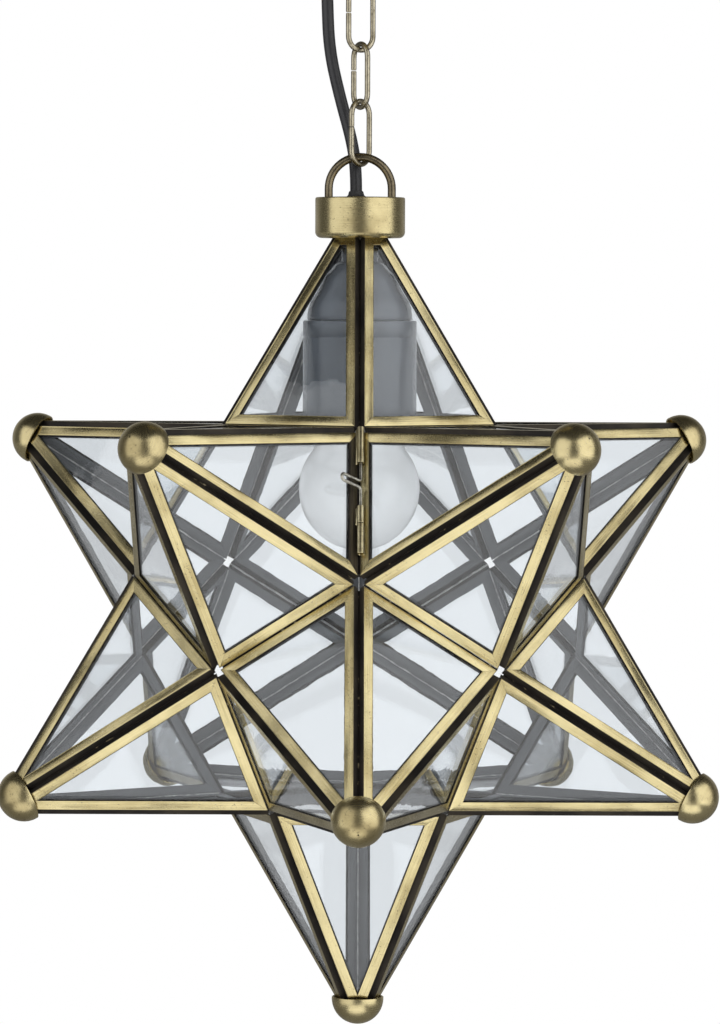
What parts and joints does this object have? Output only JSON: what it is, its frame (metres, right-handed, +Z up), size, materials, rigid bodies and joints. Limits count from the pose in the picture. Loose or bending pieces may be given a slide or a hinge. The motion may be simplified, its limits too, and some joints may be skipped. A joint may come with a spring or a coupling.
{
  "type": "star pendant light",
  "caption": "Glazed star lantern of hollow five-sided points in antiqued brass, hung from a ceiling canopy on an oval link chain, with a hinged relamping door.",
  "frame": {"origin": "middle of the canopy's rim, on the ceiling", "axes": "+Z up; -Y to the front, which the picture shows; the star hangs below the origin"},
  "size_m": [0.2588, 0.2712, 0.4384],
  "materials": {
    "pane_glass": "clear float glass",
    "lamp_glass": "pearl glass",
    "came_brass": "antiqued, satin, dark in the folds",
    "spun_brass": "antiqued and brushed",
    "chain_brass": "antiqued, bright where it rubs",
    "wire_brass": "antiqued",
    "flex_black": "smooth black PVC",
    "holder_black": "dark moulded",
    "bush_black": "moulded",
    "insulator_white": "glazed ceramic",
    "contact_metal": "rolled",
    "plated_steel": "zinc plated"
  },
  "bodies": {
    "ceiling": {"canopy": "spun_brass", "ceiling_eye": "spun_brass", "eye_nut": "plated_steel", "ceiling_strap": "plated_steel", "cord_grip": "bush_black", "terminal_block": "insulator_white"},
    "lantern": {"bail": "spun_brass", "bail_nuts": "spun_brass", "ball_cap_bottom": "spun_brass", "ball_caps_lower": "spun_brass", "ball_caps_upper": "spun_brass", "cames_bottom": "came_brass", "cames_lower_back_left": "came_brass", "cames_lower_back_right": "came_brass", "cames_lower_front": "came_brass", "cames_lower_left": "came_brass", "cames_lower_right": "came_brass", "cames_top": "came_brass", "cames_upper_back": "came_brass", "cames_upper_front_right": "came_brass", "cames_upper_left": "came_brass", "cames_upper_right": "came_brass", "centre_contact": "contact_metal", "chain_link_1": "chain_brass", "chain_link_2": "chain_brass", "chain_link_3": "chain_brass", "chain_link_4": "chain_brass", "contact_block": "insulator_white", "cord_bush": "bush_black", "cup": "spun_brass", "flex": "flex_black", "glass_bottom": "pane_glass", "glass_lower_back_left": "pane_glass", "glass_lower_back_right": "pane_glass", "glass_lower_front": "pane_glass", "glass_lower_left": "pane_glass", "glass_lower_right": "pane_glass", "glass_top": "pane_glass", "glass_upper_back": "pane_glass", "glass_upper_front_right": "pane_glass", "glass_upper_left": "pane_glass", "glass_upper_right": "pane_glass", "hinge_pin": "wire_brass", "hinge_tubes_frame": "wire_brass", "lampholder_barrel": "holder_black", "lampholder_cap": "holder_black", "latch_catch": "wire_brass", "nipple": "plated_steel", "nipple_nut": "plated_steel", "screw_shell": "contact_metal", "top_plate": "plated_steel"},
    "door": {"ball_cap_upper_front_left": "spun_brass", "cames_upper_front_left": "came_brass", "glass_upper_front_left": "pane_glass", "hinge_tubes_door": "wire_brass", "latch_guides": "wire_brass"},
    "latch": {"latch_wire": "wire_brass"},
    "lamp": {"lamp_glass": "lamp_glass", "lamp_screw_cap": "contact_metal", "lamp_contact": "contact_metal"}
  },
  "joints": [
    {"name": "pendant_swing", "type": "hinge", "parent": "ceiling", "child": "lantern", "pos_m": [0, 0, -0.0409], "axis": [1, 0, 0], "range_deg": [-20, 20], "deforming": ["flex"]},
    {"name": "door_hinge", "type": "hinge", "parent": "lantern", "child": "door", "pos_m": [-0.06781, -0.02203, -0.24384], "axis": [-0.5, -0.1625, -0.8507], "range_deg": [0, 85]},
    {"name": "latch_slide", "type": "slide", "parent": "door", "child": "latch", "axis": [0, -0.5257, -0.8507], "range_m": [0, 0.004]},
    {"name": "lamp_turn", "type": "hinge", "parent": "lantern", "child": "lamp", "pos_m": [0, 0, -0.2424], "axis": [0, 0, -1], "range_deg": [0, 720]}
  ]
}
